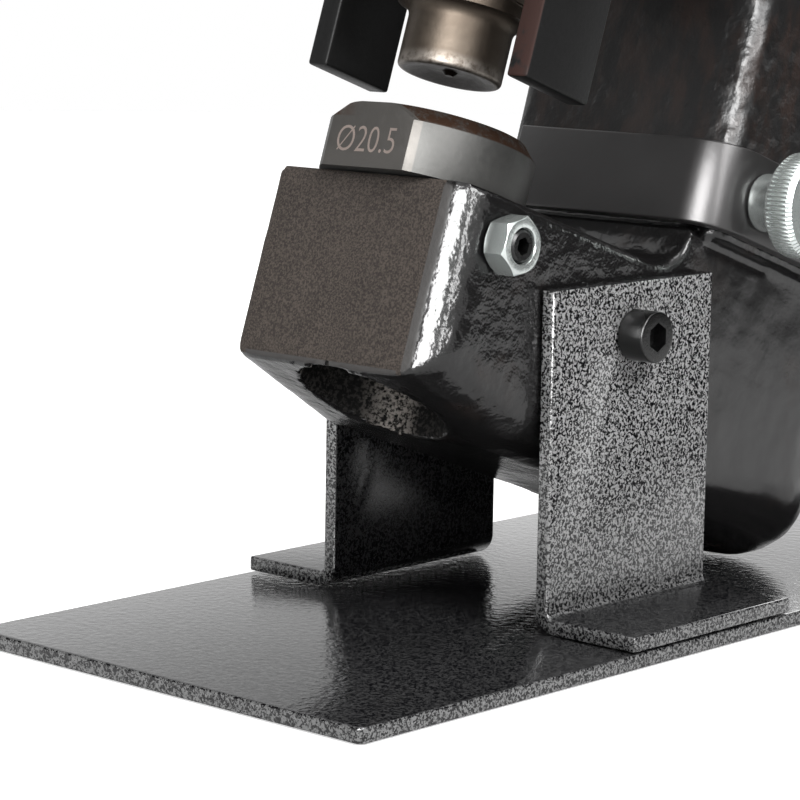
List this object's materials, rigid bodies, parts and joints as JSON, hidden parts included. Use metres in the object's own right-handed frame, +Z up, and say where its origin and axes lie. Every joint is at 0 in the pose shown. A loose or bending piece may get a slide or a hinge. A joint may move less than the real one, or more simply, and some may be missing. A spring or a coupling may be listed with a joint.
{
  "type": "hydraulic hole punch",
  "caption": "Hand-pumped hydraulic C-frame hole punch leaning back in a sheet-metal bench stand, with round punch, die, stripper, depth stop, pump lever and fixed handle.",
  "frame": {"origin": "middle of the base plate's underside", "axes": "+Z up, +X to the side of the release knob and the die's lock nut, -Y to the open front of the throat"},
  "size_m": [0.1014, 0.2726, 0.4884],
  "materials": {
    "stand": "black and silver hammertone paint",
    "black_paint": "glossy black paint over a rough casting",
    "tool_steel": "hardened tool steel, oiled",
    "dark_steel": "dark blued steel",
    "black_oxide": "black oxide",
    "zinc": "bright zinc plate",
    "hard_chrome": "hard chrome",
    "alloy": "milled light alloy",
    "seal_rubber": "oil-proof rubber",
    "grip_rubber": "matte ribbed rubber"
  },
  "bodies": {
    "stand_and_frame": {"base_plate": "stand", "bracket_left": "stand", "bracket_right": "stand", "pivot_screw_left": "black_oxide", "pivot_screw_right": "black_oxide", "c_frame": "black_paint", "die": "tool_steel", "die_set_screw": "black_oxide", "die_lock_nut": "zinc", "stripper": "dark_steel", "stripper_screw_1": "black_oxide", "stripper_screw_2": "black_oxide", "stripper_screw_3": "black_oxide", "stripper_screw_4": "black_oxide", "ram_wiper": "seal_rubber", "return_spring": "dark_steel", "cylinder_seal": "seal_rubber", "pump_block": "alloy", "block_bolt_1": "black_oxide", "block_bolt_2": "black_oxide", "block_bolt_3": "black_oxide", "block_bolt_4": "black_oxide", "outlet_ball": "hard_chrome", "outlet_plug": "dark_steel", "inlet_ball": "hard_chrome", "inlet_plug": "dark_steel", "relief_valve_screw": "black_oxide", "plunger_gland": "dark_steel", "plunger_seal": "seal_rubber", "lever_pin": "hard_chrome", "circlip_left": "black_oxide", "circlip_right": "black_oxide", "reservoir_tube": "zinc", "handle_grip": "grip_rubber", "oil_bladder": "seal_rubber", "reservoir_cap": "alloy", "filler_plug": "black_oxide"},
    "ram_and_punch": {"ram": "hard_chrome", "piston_seal": "seal_rubber", "punch": "tool_steel", "punch_nut": "dark_steel"},
    "pump_plunger": {"plunger": "hard_chrome"},
    "pump_lever": {"lever_yoke": "dark_steel", "lever_tube": "zinc", "lever_grip": "grip_rubber", "plunger_pin": "hard_chrome"},
    "stop": {"depth_stop": "black_oxide"},
    "clamp_screw": {"thumbscrew": "zinc"},
    "release_valve": {"release_knob": "black_oxide"}
  },
  "joints": [
    {"name": "ram_slide", "type": "slide", "parent": "stand_and_frame", "child": "ram_and_punch", "axis": [0, -0.3206, -0.9472], "range_m": [0, 0.018], "stiffness_N_per_m": 3000, "springref_m": -0.015, "deforming": ["return_spring"]},
    {"name": "lever_hinge", "type": "hinge", "parent": "stand_and_frame", "child": "pump_lever", "pos_m": [0, 0.05505, 0.23843], "axis": [-1, 0, 0], "range_deg": [0, 40]},
    {"name": "plunger_slide", "type": "slide", "parent": "stand_and_frame", "child": "pump_plunger", "axis": [0, 0.9472, -0.3206], "range_m": [0, 0.01685]},
    {"name": "stop_slide", "type": "slide", "parent": "stand_and_frame", "child": "stop", "axis": [0, -0.9472, 0.3206], "range_m": [0, 0.025]},
    {"name": "thumbscrew_turn", "type": "hinge", "parent": "stand_and_frame", "child": "clamp_screw", "pos_m": [0.0322, 0.01119, 0.08235], "axis": [1, 0, 0], "range_deg": [0, 360]},
    {"name": "release_turn", "type": "hinge", "parent": "stand_and_frame", "child": "release_valve", "pos_m": [0.0295, -0.00677, 0.27413], "axis": [1, 0, 0], "range_deg": [0, 180]}
  ],
  "couplings": [
    {"joint": "plunger_slide", "follows": "lever_hinge", "m_per_rad": 0.024103}
  ]
}
